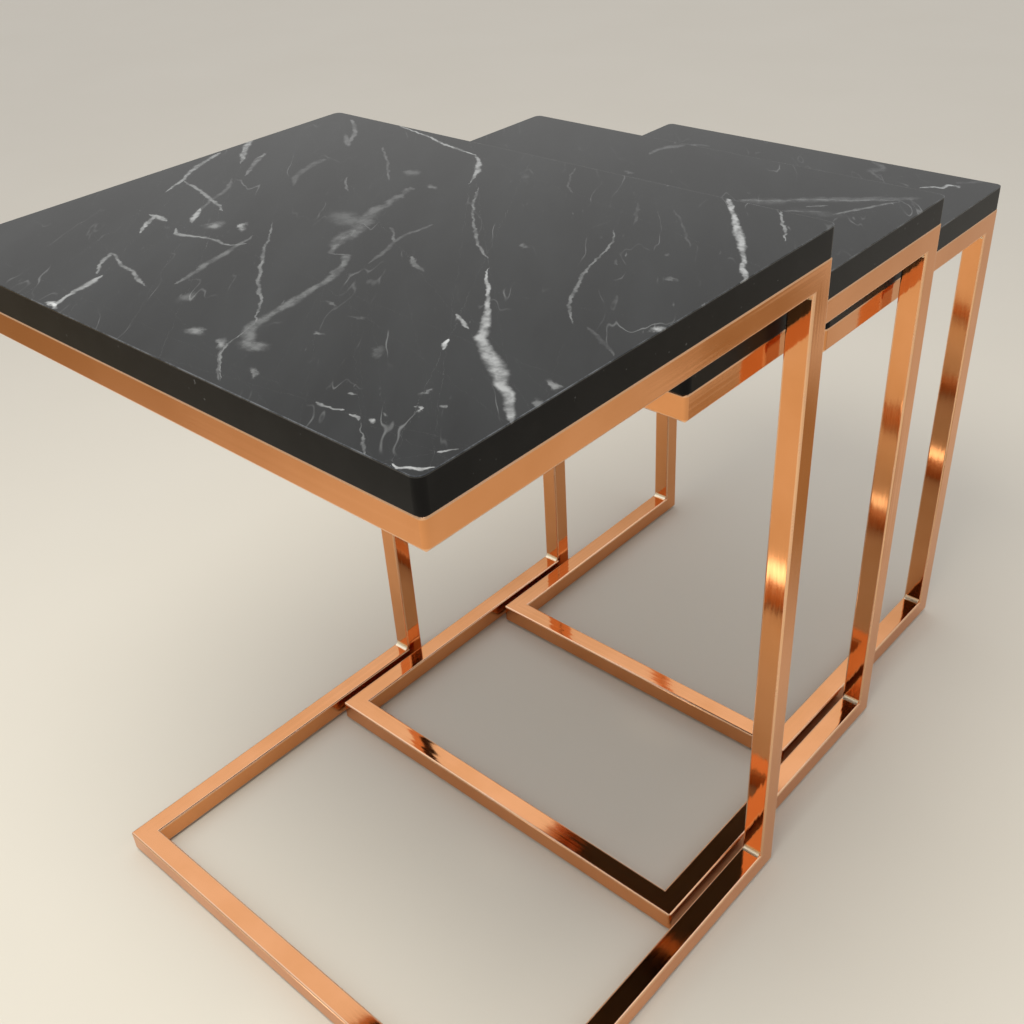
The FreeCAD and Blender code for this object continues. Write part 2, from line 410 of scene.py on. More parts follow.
def hollow_weld(mesh, corner, side_a, side_b, width):
    """Adds one dressed weld in the corner between two faces, its hollow side out."""
    middle = corner + (side_a + side_b) * WELD_LEG
    section = [corner]
    for turn in turns(WELD_STEPS):
        section.append(middle - (side_b * math.cos(turn) + side_a * math.sin(turn)) * WELD_LEG)
    ends = [[mesh.verts.new(point + RIGHT * side * width / 2) for point in section] for side in (-1, 1)]
    bmesh.ops.recalc_face_normals(mesh, faces=joined(mesh, ends, closed=False))


for table in TABLES:
    mesh = bmesh.new()
    for side in ("right", "left"):
        leg_low, leg_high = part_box(f"{table}_leg_{side}")
        floor_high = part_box(f"{table}_base_{side}")[1].z
        apron_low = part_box(f"{table}_apron_{side}")[0].z
        middle = (leg_low.x + leg_high.x) / 2
        width = leg_high.x - leg_low.x - 2 * TUBE_ARRIS
        hollow_weld(mesh, Vector((middle, leg_low.y, floor_high)), FRONT, UP, width)
        hollow_weld(mesh, Vector((middle, leg_low.y, apron_low)), FRONT, DOWN, width)
    grained(mesh)
    mesh.verts.layers.float.new("rim")
    made_piece(f"{table}_weld_fillets", "dressed", mesh, highlit_weld_gold)


# --------------------------------------------------------------------
# Fixing tabs
# Four angle tabs a table, folded from 2 mm steel sheet and welded to the side rails of the apron
# before plating. The flat flange lies under the board and has a hole for a screw.
TAB_SHEET = 0.002
TAB_LENGTH = 0.026
TAB_REACH = 0.024
TAB_BEND = 0.0025           # outside radius of the fold
TAB_HOLE = 0.0025           # radius
TAB_CORNER = 0.003
TAB_CORNER_STEPS = 6
TAB_EDGE = 0.0002
BEND_STEPS = 8
HOLE_SIDES = 32
EASE_ABOVE = math.radians(40)


def bend_points(centre, radius, start, end):
    """Points round a bend in a section, as (across, up) pairs."""
    return [
        (centre[0] + radius * math.cos(turn), centre[1] + radius * math.sin(turn))
        for turn in turns(BEND_STEPS, start, end)
    ]


def folded_tab(drop):
    """A right-hand tab as a bmesh: fold at the origin, flange down, flat reaching to -X."""
    bend_middle = (-TAB_BEND, -TAB_BEND)
    section = [(-TAB_REACH, -TAB_SHEET)]
    section += bend_points(bend_middle, TAB_BEND - TAB_SHEET, QUARTER, 0)
    section += [(-TAB_SHEET, -drop), (0, -drop)]
    section += bend_points(bend_middle, TAB_BEND, 0, QUARTER)
    section.append((-TAB_REACH, 0))
    mesh = bmesh.new()
    ends = [[mesh.verts.new((x, side * TAB_LENGTH / 2, z)) for x, z in section] for side in (-1, 1)]
    bmesh.ops.recalc_face_normals(mesh, faces=joined(mesh, ends, closed=False))

    def at_a_tip(edge):
        """Whether an edge crosses the sheet at the flange's or the flat's outer end."""
        near, far = (vert.co for vert in edge.verts)
        flat_tip = max(near.x, far.x) < WELD_SHUT - TAB_REACH
        flange_tip = max(near.z, far.z) < WELD_SHUT - drop
        return near.y == far.y and (flat_tip or flange_tip)

    bmesh.ops.bevel(
        mesh, geom=[edge for edge in mesh.edges if at_a_tip(edge)], offset=TAB_CORNER,
        offset_type="OFFSET", segments=TAB_CORNER_STEPS, profile=0.5, affect="EDGES", clamp_overlap=True,
    )
    return mesh


def cleared(*things):
    """Takes helper objects and their data out of the scene."""
    for thing in things:
        data = thing.data
        bpy.data.objects.remove(thing)
        bpy.data.meshes.remove(data)


def worked(mesh, cutter, edge=0.0):
    """A bmesh after cutting another one out of it and easing its edges."""
    blank = set_down("blank", mesh_data("blank", mesh))
    tool = set_down("cutter", mesh_data("cutter", cutter))
    cut = blank.modifiers.new("cut", "BOOLEAN")
    cut.operation, cut.solver, cut.object = "DIFFERENCE", "EXACT", tool
    if edge:
        ease = blank.modifiers.new("ease", "BEVEL")
        ease.width, ease.segments = edge, 2
        ease.limit_method, ease.angle_limit = "ANGLE", EASE_ABOVE
    result = bmesh.new()
    result.from_mesh(blank.evaluated_get(bpy.context.evaluated_depsgraph_get()).to_mesh())
    cleared(blank, tool)
    bmesh.ops.remove_doubles(result, verts=result.verts, dist=WELD_SHUT)
    return result


def copied_into(mesh, part, place):
    """Adds a copy of one bmesh, moved by a matrix, to another, faces kept outwards."""
    data = bpy.data.meshes.new("part")
    part.to_mesh(data)
    data.transform(place)
    if place.determinant() < 0:
        data.flip_normals()
    mesh.from_mesh(data)
    bpy.data.meshes.remove(data)


for table in TABLES:
    node = f"{table}_fixing_tabs"
    low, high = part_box(node)
    drill = bmesh.new()
    bmesh.ops.create_cone(
        drill, cap_ends=True, segments=HOLE_SIDES, radius1=TAB_HOLE, radius2=TAB_HOLE,
        depth=3 * TAB_SHEET, matrix=Matrix.Translation((-(TAB_REACH + TAB_SHEET) / 2, 0, -TAB_SHEET / 2)),
    )
    tab = worked(folded_tab(high.z - low.z), drill, TAB_EDGE)
    mesh = bmesh.new()
    for y in (low.y + TAB_LENGTH / 2, high.y - TAB_LENGTH / 2):
        copied_into(mesh, tab, Matrix.Translation((high.x, y, high.z)))
        copied_into(mesh, tab, Matrix.Translation((low.x, y, high.z)) @ Matrix.Scale(-1, 4, RIGHT))
    tab.free()
    grained(mesh, 1)
    mesh.verts.layers.float.new("rim")
    made_piece(node, "folded", mesh, rose_gold)


# --------------------------------------------------------------------
# Board core and balancing sheet
# Each top is a 20 mm fibreboard core, closed in all round, with a thin matt black sheet glued
# under it to keep it flat.
FIBRE_DARK, FIBRE_LIGHT, FIBRE_CLOUD = (0.30, 0.19, 0.10), (0.56, 0.41, 0.26), (0.44, 0.31, 0.19)
SHEET_BLACK, SHEET_SCUFFED = (0.012, 0.012, 0.012), (0.034, 0.033, 0.032)


def scaled(tree, vector, scale):
    """A vector multiplied along each axis."""
    return add(tree, "ShaderNodeMapping", {"Vector": vector, "Scale": scale}).outputs["Vector"]


def fibreboard():
    """Pressed wood fibre, light brown with darker flecks."""
    material, tree, place = finish_material("fibreboard")
    fibres = noise(tree, scaled(tree, place, (1, 1, 4)), 420.0, 6.0, 0.7)
    clouds = noise(tree, place, 25.0, 3.0, 0.5)
    tone = blend(tree, ramp(tree, fibres, 0.3, 0.7), FIBRE_DARK, FIBRE_LIGHT)
    tone = blend(tree, ramp(tree, clouds, 0.4, 0.8, 0.0, 0.35), tone, FIBRE_CLOUD)
    surfaced(tree, tone, ramp(tree, fibres, 0.2, 0.8, 0.75, 0.92), fibres, 0.6, 0.0002)
    return material


def balancing_sheet():
    """Matt black resin-coated paper with a fine leathery press-plate texture."""
    material, tree, place = finish_material("balancing_sheet")
    pebble = add(tree, "ShaderNodeTexVoronoi", {"Vector": place, "Scale": 900.0}).outputs["Distance"]
    scuffs = noise(tree, place, 30.0, 5.0, 0.65)
    tone = blend(tree, ramp(tree, scuffs, 0.35, 0.8), SHEET_BLACK, SHEET_SCUFFED)
    surfaced(tree, tone, ramp(tree, scuffs, 0.3, 0.8, 0.5, 0.68), pebble, 0.5, 0.00006)
    return material


core_finish, backer_finish = fibreboard(), balancing_sheet()
for table in TABLES:
    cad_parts[f"{table}_top_core"].material_slots[0].material = core_finish
    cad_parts[f"{table}_top_backer"].material_slots[0].material = backer_finish


# --------------------------------------------------------------------
# Edge band
# A 1 mm satin black band runs round the sides of each board, glued on and carried round the
# small corner radius, with its lower edge eased by a scraper.
EDGE_BAND = 0.001
BOARD_CORNER = 0.006
BAND_EASE = 0.0003
CORNER_STEPS = 16
EASE_STEPS = 4
BAND_BLACK, BAND_CLOUD = (0.003, 0.0026, 0.0024), (0.006, 0.0054, 0.005)
BAND_FLECK, BAND_RUBBED = (0.25, 0.25, 0.24), (0.10, 0.095, 0.09)
BAND_IOR = 1.21             # below a real lacquer's 1.5, to keep the sheen faint


def walled(low, high, layers, closed):
    """Walls between outlines of a board, from (inset, height, wear) layers, faces outwards."""
    mesh = bmesh.new()
    rim = mesh.verts.layers.float.new("rim")
    middle, half = (low + high) / 2, (high - low) / 2
    rings = []
    for inset, z, worn in layers:
        outline = rounded_section(half.x - inset, half.y - inset, BOARD_CORNER - inset, CORNER_STEPS)
        ring = [mesh.verts.new((middle.x + x, middle.y + y, z)) for x, y in outline]
        for vert in ring:
            vert[rim] = worn
        rings.append(ring)
    bmesh.ops.recalc_face_normals(mesh, faces=joined(mesh, rings, closed))
    return mesh


def edging_finish():
    """Satin black edge band: faint scraper lines along it and lighter rubbed edges."""
    material, tree, place = finish_material("black_edge_band")
    _, wear = worn_edges(tree, place, 0.5)
    lines = noise(tree, scaled(tree, place, (0.03, 0.03, 1)), 1500.0, 2.0, 0.6)
    clouds = noise(tree, place, 35.0, 4.0, 0.6)
    flecks = noise(tree, place, 260.0, 2.0, 0.5)
    tone = blend(tree, ramp(tree, clouds, 0.35, 0.7), BAND_BLACK, BAND_CLOUD)
    tone = blend(tree, ramp(tree, flecks, 0.74, 0.78, 0.0, 0.35), tone, BAND_FLECK)
    tone = blend(tree, wear, tone, BAND_RUBBED)
    dulled = plus(tree, 0.26, (lines, 0.03), (clouds, 0.02))
    surfaced(tree, tone, dulled, lines, 0.25, 0.000006, IOR=BAND_IOR)
    return material


band_finish = edging_finish()
for table in TABLES:
    node = f"{table}_top_edging"
    low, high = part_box(node)
    layers = [(EDGE_BAND, high.z, 0), (EDGE_BAND, low.z, 0)]
    for turn in turns(EASE_STEPS):
        rise, draw = 1 - math.cos(turn), 1 - math.sin(turn)
        layers.append((BAND_EASE * draw, low.z + BAND_EASE * rise, 1))
    layers += [(0, low.z + 2 * BAND_EASE, 0), (0, high.z, 0)]
    made_piece(node, "band", walled(low, high, layers, closed=True), band_finish)


# --------------------------------------------------------------------
# Marble-look face
# A 1 mm glossy sheet printed as black marble covers each board and its edge band, and its top
# edge is eased. The veins are white to grey, mostly thin, and run from back left to front right.
FACE_EASE = 0.0004
MILLIMETRE = 0.001
HAIR = 0.01                 # half width of a vein at its tips, in millimetres
TAPER = 0.03                # share of a vein's length that each tip takes up
SMOKY = 5.5                 # half width in millimetres from which a vein's edges are torn
ANY_HEIGHT = 1000.0         # a patch reaches through the sheet at any height
DRIFT = -52                 # degrees from X that hairlines, flecks and clouds are drawn out along
STONE_BLACK, STONE_CLOUD = (0.003, 0.003, 0.0028), (0.009, 0.0093, 0.0088)
STONE_WHITE, STONE_RUBBED = (0.38, 0.37, 0.345), (0.12, 0.12, 0.12)
STONE_IOR = 1.5
EDGE_WOBBLES = (            # scale, detail and depth of each, and what the edges are called after it
    (60.0, 2.0, 0.006, None), (220.0, 2.0, 0.0026, "Ragged"), (95.0, 4.0, 0.013, "Torn"),
)


def vein_group():
    """One vein: a soft-edged line that sways from side to side and swells."""
    group, given, made = shader_group(
        "vein", {"Across": 0.0, "Sway": 0.0, "Half width": 0.01, "Strength": 1.0}, {"Mask": "Float"},
    )
    aside = sums(group, "ABSOLUTE", sums(group, "SUBTRACT", given["Across"], given["Sway"]))
    core = ramp(group, sums(group, "DIVIDE", aside, given["Half width"]), 1.25, 0.3)
    group.links.new(sums(group, "MULTIPLY", core, given["Strength"]), made["Mask"])
    return group


def smoke_group():
    """A round soft patch of grey, in its own unit circle."""
    group, given, made = shader_group("smoke", {"Place": (0, 0, 0), "Strength": 1.0}, {"Mask": "Float"})
    away = add(group, "ShaderNodeVectorMath", {0: given["Place"]}, operation="LENGTH").outputs["Value"]
    faded = ramp(group, away, 1.15, 0.25)
    group.links.new(sums(group, "MULTIPLY", faded, given["Strength"]), made["Mask"])
    return group


def vectors(tree, operation, first, second):
    """A Vector Math node's vector."""
    return add(tree, "ShaderNodeVectorMath", {0: first, 1: second}, operation=operation).outputs[0]


def seen_from(tree, vector, place, angle, size):
    """A vector in a drawing's own frame, laid at a place, turned by degrees and enlarged."""
    return add(tree, "ShaderNodeMapping", {
        "Vector": vector, "Location": place, "Rotation": (0, 0, math.radians(angle)), "Scale": size,
    }, vector_type="TEXTURE").outputs["Vector"]


def stone_group():
    """What the print has everywhere: ragged vein edges, mottling, hairlines, flecks and clouds."""
    group, given, made = shader_group(
        "black_stone", {"Position": (0, 0, 0), "Drift": (0, 0, 0)},
        {"Ragged": "Vector", "Torn": "Vector", "Mottle": "Float", "Hairlines": "Float",
         "Flecks": "Float", "Clouds": "Float"},
    )
    ragged = given["Position"]
    moved = vectors(group, "ADD", ragged, given["Drift"])
    for scale, detail, depth, result in EDGE_WOBBLES:
        wobble = noise(group, moved, scale, detail, 0.62, "Color")
        centred = vectors(group, "SUBTRACT", wobble, (0.5, 0.5, 0.5))
        ragged = vectors(group, "ADD", ragged, vectors(group, "MULTIPLY", centred, (depth, depth, 0)))
        if result:
            group.links.new(ragged, made[result])

    mottle = noise(group, moved, 85.0, 4.0, 0.6)
    group.links.new(ramp(group, mottle, 0.36, 0.62, 0.35, 1.0), made["Mottle"])

    turned = seen_from(group, moved, (0, 0, 0), DRIFT, (3.2, 0.8, 1))
    wisps = noise(group, turned, 26.0, 2.5, 0.45)
    off_centre = sums(group, "ABSOLUTE", sums(group, "SUBTRACT", wisps, 0.5))
    sparse = ramp(group, noise(group, moved, 17.0, 3.0, 0.6), 0.5, 0.72)
    hairlines = sums(group, "MULTIPLY", ramp(group, off_centre, 0.007, 0.0), sparse)
    group.links.new(hairlines, made["Hairlines"])

    spots = ramp(group, noise(group, turned, 210.0, 2.0, 0.5), 0.66, 0.76)
    crowd = ramp(group, noise(group, moved, 24.0, 2.0, 0.5), 0.55, 0.75)
    group.links.new(sums(group, "MULTIPLY", spots, crowd), made["Flecks"])
    group.links.new(ramp(group, noise(group, turned, 12.0, 5.0, 0.6), 0.3, 0.75), made["Clouds"])
    return group


vein, smoke, black_stone = vein_group(), smoke_group(), stone_group()


def set_curve(node, points):
    """Draws a Float Curve through points whose heights may be below zero."""
    mapping = node.mapping
    mapping.clip_min_x, mapping.clip_max_x, mapping.clip_min_y, mapping.clip_max_y = 0, 1, -1, 1
    mapping.extend = "HORIZONTAL"
    curve = mapping.curves[0]
    while len(curve.points) < len(points):
        curve.points.new(0.5, 0.5)
    for point, place in zip(curve.points, points):
        point.location = place
        point.handle_type = "AUTO_CLAMPED"
    mapping.update()


def vein_mask(tree, ragged, line, strength):
    """A vein through given places: x, y and half width in millimetres."""
    start, end = (Vector(point[:2]) for point in (line[0], line[-1]))
    run = end - start
    length = run.length
    ahead = run / length
    aside = Vector((-ahead.y, ahead.x))
    steps = [Vector(point[:2]) - start for point in line]
    sway = [(step.dot(ahead) / length, step.dot(aside) / length) for step in steps]
    inner = [(along, point[2] / length) for (along, _), point in zip(sway, line)]
    inner[0] = (TAPER, inner[0][1])
    inner[-1] = (1 - TAPER, inner[-1][1])
    width = [(0, HAIR / length), *inner, (1, HAIR / length)]
    own = seen_from(
        tree, ragged, (start.x * MILLIMETRE, start.y * MILLIMETRE, 0),
        math.degrees(math.atan2(run.y, run.x)), (length * MILLIMETRE, length * MILLIMETRE, 1),
    )
    parts = add(tree, "ShaderNodeSeparateXYZ", {"Vector": own}).outputs
    curves = []
    for points in (sway, width):
        node = add(tree, "ShaderNodeFloatCurve", {"Value": parts["X"]})
        set_curve(node, points)
        curves.append(node.outputs["Value"])
    return placed(tree, vein, {
        "Across": parts["Y"], "Sway": curves[0], "Half width": curves[1], "Strength": strength,
    })["Mask"]


def smoke_mask(tree, ragged, patch):
    """A patch set by x, y, half length, half width in millimetres, its angle and strength."""
    x, y, half_length, half_width, angle, strength = patch
    own = seen_from(
        tree, ragged, (x * MILLIMETRE, y * MILLIMETRE, 0), angle,
        (half_length * MILLIMETRE, half_width * MILLIMETRE, ANY_HEIGHT),
    )
    return placed(tree, smoke, {"Place": own, "Strength": strength})["Mask"]


def strongest(tree, masks):
    """Several masks laid over one another."""
    most = masks[0]
    for mask in masks[1:]:
        most = sums(tree, "MAXIMUM", most, mask)
    return most


def marble_print(name, drift, veins, patches):
    """The glossy printed sheet of one table."""
    material, tree, place = finish_material(name)
    flat = scaled(tree, place, (1, 1, 0))
    _, wear = worn_edges(tree, place, 0.6)
    stone = placed(tree, black_stone, {"Position": flat, "Drift": drift})
    masks = []
    for strength, line in veins:
        smoky = max(point[2] for point in line) > SMOKY
        masks.append(vein_mask(tree, stone["Torn" if smoky else "Ragged"], line, strength))
    masks += [smoke_mask(tree, stone["Torn"], patch) for patch in patches]
    white = sums(tree, "MULTIPLY", strongest(tree, masks), stone["Mottle"])
    white = plus(tree, white, (stone["Hairlines"], 0.22), (stone["Flecks"], 0.26))
    tone = blend(tree, stone["Clouds"], STONE_BLACK, STONE_CLOUD)
    tone = blend(tree, white, tone, STONE_WHITE)
    tone = blend(tree, wear, tone, STONE_RUBBED)
    dulled = plus(tree, 0.09, (stone["Clouds"], 0.05), (white, 0.06))
    swell = noise(tree, place, 60.0, 2.0, 0.4)
    surfaced(tree, tone, dulled, swell, 0.5, 0.00006, IOR=STONE_IOR)
    return material


LARGE_VEINS = (
    # the main vein, from the back edge to the right edge
    (0.60, ((-170, -22, 0.6), (-130, -30, 1.2), (-93, -40, 1.6), (-53, -47, 1.0))),
    (0.55, ((-56, -47, 0.6), (-40, -58, 2.0), (-30, -70, 2.4), (-18, -88, 1.2), (-12, -98, 0.3))),
    (0.26, ((-2, -100, 0.4), (13, -120, 1.1), (33, -142, 0.9), (47, -156, 1.3), (73, -179, 1.2),
            (94, -192, 0.5))),
    (0.60, ((103, -202, 0.5), (113, -215, 1.2), (143, -246, 1.8), (157, -263, 3.2), (167, -277, 3.6),
            (183, -290, 4.4), (200, -300, 5.0), (210, -309, 4.0), (223, -318, 3.2), (242, -336, 2.2))),
    # the bright one at the back right, and its companion
    (0.75, ((155, -20, 1.6), (177, -47, 2.0), (190, -63, 2.8), (204, -80, 3.2), (217, -98, 2.2),
            (244, -138, 1.6))),
    (0.44, ((200, -26, 0.8), (212, -43, 1.2), (229, -67, 0.4))),
    # thin curve down the right half
    (0.26, ((128, -110, 0.4), (140, -127, 0.9), (152, -162, 1.0), (162, -187, 1.4), (177, -214, 1.2),
            (196, -234, 0.5))),
    (0.10, ((205, -233, 0.8), (220, -240, 1.6), (238, -252, 0.6))),
    # smoky crooked vein down the middle
    (0.16, ((-44, -125, 2.0), (-36, -150, 4.0), (-29, -176, 6.0), (-17, -200, 7.0), (-10, -222, 6.0),
            (-3, -240, 4.0))),
    (0.22, ((-20, -196, 1.0), (-12, -212, 3.0), (-6, -230, 2.2), (1, -242, 2.4), (14, -239, 2.6),
            (23, -250, 2.6), (30, -266, 3.0))),
    (0.20, ((22, -247, 1.4), (32, -266, 3.6), (36, -285, 2.6), (41, -305, 4.2), (44, -322, 3.6),
            (48, -340, 5.0), (58, -352, 5.0), (72, -360, 2.5))),
    # long thin diagonal
    (0.28, ((-76, -228, 0.4), (-53, -248, 1.0), (-37, -266, 1.2), (-18, -283, 1.6), (0, -298, 1.4),
            (27, -319, 1.0), (43, -335, 0.6), (60, -370, 0.8), (88, -394, 0.4))),
    # left side
    (0.34, ((-203, -211, 0.8), (-173, -217, 1.8), (-147, -225, 1.6), (-122, -234, 0.5))),
    (0.45, ((-236, -152, 2.0), (-221, -188, 2.4), (-206, -210, 1.8), (-193, -234, 0.5))),
    (0.60, ((-243, -116, 3.0), (-223, -138, 2.8), (-199, -160, 0.6))),
    (0.22, ((-203, -133, 1.0), (-187, -157, 2.4), (-171, -178, 0.8))),
    (0.14, ((-176, -187, 0.8), (-158, -205, 1.8), (-147, -228, 1.6), (-136, -248, 2.2))),
    (0.58, ((-142, -240, 0.6), (-132, -250, 2.4), (-122, -262, 0.8))),
    (0.46, ((-162, -268, 0.8), (-150, -268, 2.6), (-141, -269, 0.6))),
    (0.58, ((-156, -268, 1.8), (-148, -280, 2.0), (-136, -294, 0.6))),
    (0.34, ((-124, -275, 1.0), (-112, -280, 2.2), (-92, -273, 1.4), (-66, -272, 1.2), (-57, -262, 0.6))),
    (0.19, ((-66, -252, 0.8), (-57, -278, 2.6), (-52, -298, 3.0), (-46, -312, 2.4), (-42, -331, 1.4))),
    (0.34, ((-122, -325, 1.2), (-97, -333, 1.4), (-77, -337, 1.6), (-53, -344, 0.5))),
    (0.36, ((-122, -325, 1.6), (-110, -342, 1.4), (-98, -351, 0.6))),
    (0.50, ((-92, -350, 0.8), (-88, -364, 3.2), (-82, -382, 1.8), (-77, -396, 3.0))),
    # far left wisps
    (0.24, ((-212, -34, 1.4), (-186, -52, 2.2), (-160, -85, 1.4))),
    (0.20, ((-185, -64, 1.2), (-165, -80, 2.4), (-158, -86, 1.0))),
    (0.16, ((-132, -72, 0.8), (-97, -99, 1.2), (-69, -125, 0.5))),
    (0.18, ((-102, -136, 0.6), (-90, -148, 1.0), (-76, -158, 0.4))),
    (0.12, ((-150, -118, 4.0), (-140, -150, 3.0), (-122, -172, 1.0))),
    # middle and right wisps
    (0.13, ((22, -170, 1.2), (22, -200, 1.8), (30, -222, 2.0), (36, -240, 0.5))),
    (0.20, ((3, -190, 1.4), (12, -197, 1.2), (23, -206, 1.0))),
    (0.22, ((50, -218, 1.2), (60, -224, 1.8), (74, -229, 0.8))),
    (0.12, ((30, -28, 0.6), (47, -58, 1.0), (62, -72, 0.4))),
    (0.07, ((140, -60, 0.6), (165, -85, 1.0), (185, -108, 0.4))),
    (0.07, ((112, -62, 0.6), (124, -80, 1.4), (134, -98, 0.4))),
    (0.48, ((133, -263, 0.8), (142, -267, 1.6), (152, -273, 0.5))),
    (0.90, ((152, -288, 0.6), (155, -293, 1.7), (159, -299, 0.6))),
    (0.14, ((58, -370, 0.6), (72, -382, 1.0), (86, -394, 0.6))),
    # broken specks and short wisps in the near corner
    (0.45, ((147, -378, 0.4), (152, -378, 1.3), (158, -377, 0.8), (165, -375, 0.5))),
    (0.42, ((170, -377, 0.5), (175, -376, 1.1), (179, -377, 0.4))),
    (0.26, ((181, -378, 0.3), (189, -385, 0.5), (196, -391, 1.0), (204, -397, 0.6))),
    (0.66, ((221, -396, 0.4), (227, -396, 0.9), (232, -392, 1.3), (236, -390, 1.2), (239, -385, 0.6))),
    (0.50, ((230, -377, 0.4), (234, -372, 1.0), (237, -367, 0.4))),
)
LARGE_PATCHES = (
    (-34, -195, 24, 11, -8, 0.13),
    (-67, -103, 9, 6, -20, 0.14),
    (-32, -118, 6, 4, -20, 0.24),
    (-104, -255, 7, 9, 0, 0.34),
    (-84, -247, 9, 3, -55, 0.48),
    (69, -356, 11, 7, 10, 0.30),
    (-18, -340, 5, 9, 15, 0.14),
    (26, -365, 7, 5, 0, 0.32),
    (52, -365, 8, 4, -35, 0.42),
    (98, -163, 5, 2.5, -50, 0.18),
    (95, -376, 6, 2, -55, 0.30),
    (63, -296, 7, 2, -10, 0.14),
    (90, -297, 7, 2, 5, 0.12),
    (87, -324, 4, 2, 0, 0.20),
    (132, -322, 8, 4, -45, 0.10),
    (182, -125, 4, 2.5, -40, 0.14),
    (205, -154, 4, 2.5, 0, 0.16),
    (185, -337, 3.5, 1.4, 80, 0.36),
    (203, -344, 2, 1.6, 30, 0.42),
    (196, -353, 4, 1.5, -40, 0.50),
    (185, -374, 3, 1.6, -15, 0.85),
    (157, -361, 2.5, 1.4, 20, 0.30),
    (232, -295, 5, 2.5, -15, 0.34),
    (238, -312, 4, 3, -30, 0.20),
    (238, -214, 4, 4, -60, 0.50),
    (186, -366, 2, 1.2, 0, 0.24),
    (236, -328, 2, 1.2, 40, 0.60),
    (-78, -394, 8, 2.8, -8, 1.50),
)
MEDIUM_VEINS = (
    (0.12, ((82, 108, 3.0), (110, 126, 5.0), (140, 148, 6.0), (172, 170, 5.0), (200, 192, 2.0))),
    (0.24, ((84, 111, 1.2), (108, 124, 2.0), (131, 143, 2.4), (157, 157, 2.2), (188, 178, 1.0))),
    (0.16, ((112, 96, 0.8), (128, 110, 2.0), (141, 118, 1.4), (160, 126, 0.6))),
    (0.26, ((160, 122, 0.8), (166, 132, 2.2), (174, 148, 2.0), (189, 174, 1.0))),
    (0.20, ((136, 126, 0.8), (141, 132, 1.8), (148, 138, 0.6))),
    (0.17, ((-46, 166, 2.0), (-48, 182, 3.0), (-36, 202, 1.6))),
    (0.72, ((-60, -148, 1.2), (-20, -96, 2.4), (12, -58, 3.6), (40, -30, 2.0), (86, 34, 1.4),
            (120, 70, 0.5))),
    (0.40, ((-210, -60, 1.2), (-160, -84, 1.6), (-118, -120, 1.0), (-92, -148, 0.8))),
    (0.45, ((-180, 90, 0.6), (-150, 60, 1.4), (-118, 38, 1.6), (-84, -10, 1.0), (-52, -36, 0.4))),
    (0.24, ((110, -140, 2.0), (134, -104, 3.4), (140, -70, 2.4), (168, -34, 3.0), (212, -2, 1.6))),
    (0.50, ((150, -146, 0.6), (172, -128, 1.4), (213, -108, 0.8))),
)
MEDIUM_PATCHES = (
    (-32, 117, 6, 4, -20, 0.16),
    (104, 120, 20, 9, 30, 0.10),
    (150, 120, 24, 7, 10, 0.06),
    (-40, 196, 12, 6, 60, 0.18),
    (14, -52, 12, 6, 40, 0.25),
    (-140, 10, 9, 5, -30, 0.22),
    (60, 90, 5, 3, 0, 0.35),
)
SMALL_VEINS = (
    (0.80, ((128, 350, 0.6), (137, 359, 2.0), (144, 361, 2.6), (148, 371, 2.4), (156, 372, 0.8))),
    (0.13, ((56, 396, 2.0), (74, 384, 4.0), (72, 366, 2.0), (90, 352, 1.0))),
    (0.18, ((-140, 330, 2.0), (-120, 348, 3.0), (-104, 352, 1.0))),
    (0.10, ((150, 380, 2.0), (168, 396, 3.4))),
    (0.65, ((-150, 80, 1.2), (-112, 128, 2.0), (-70, 160, 3.2), (-34, 210, 2.0), (10, 240, 1.0),
            (40, 300, 0.4))),
    (0.42, ((60, 80, 0.8), (92, 122, 1.4), (118, 150, 1.2), (186, 196, 0.8))),
    (0.30, ((-186, 230, 1.2), (-140, 252, 2.2), (-90, 250, 1.0))),
    (0.26, ((90, 330, 1.6), (112, 280, 3.0), (108, 240, 2.4), (130, 200, 1.2))),
)
SMALL_PATCHES = (
    (133, 356, 4, 2.5, 30, 0.50),
    (155, 371, 4, 2.5, 35, 0.60),
    (72, 374, 12, 7, 50, 0.16),
    (-130, 338, 10, 6, 60, 0.18),
    (-20, 120, 7, 4, -20, 0.35),
)
PRINTS = {
    "large": ((0, 0, 0), LARGE_VEINS, LARGE_PATCHES),
    "medium": ((1.3, 0.4, 0), MEDIUM_VEINS, MEDIUM_PATCHES),
    "small": ((0.2, 2.1, 0), SMALL_VEINS, SMALL_PATCHES),
}

for table in TABLES:
    node = f"{table}_top_face"
    low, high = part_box(node)
    layers = [(0, low.z, 0)]
    for turn in turns(EASE_STEPS):
        draw, drop = 1 - math.cos(turn), 1 - math.sin(turn)
        layers.append((FACE_EASE * draw, high.z - FACE_EASE * drop, 1))
    layers.append((2 * FACE_EASE, high.z, 0))
    printed = marble_print(f"{table}_marble_print", *PRINTS[table])
    made_piece(node, "sheet", walled(low, high, layers, closed=False), printed)


# --------------------------------------------------------------------
# Fixing screws
# Four zinc-plated pan-head screws a table, driven up through the tabs into the core. Each stops
# with its cross recess at its own angle.
SCREW_HEAD = 0.004          # radius
SCREW_HEAD_HEIGHT = 0.0024
SCREW_HEAD_EASE = 0.001
SCREW_SHANK = 0.002         # radius
SCREW_SLOT = 0.0011
SCREW_SLOT_DEPTH = 0.0013
SLOT_TAPER = 0.8
SCREW_SIDES = 40
TURN_SEED = 7
ZINC_DARK, ZINC_LIGHT, ZINC_YELLOWED = (0.46, 0.47, 0.49), (0.64, 0.64, 0.62), (0.58, 0.55, 0.42)


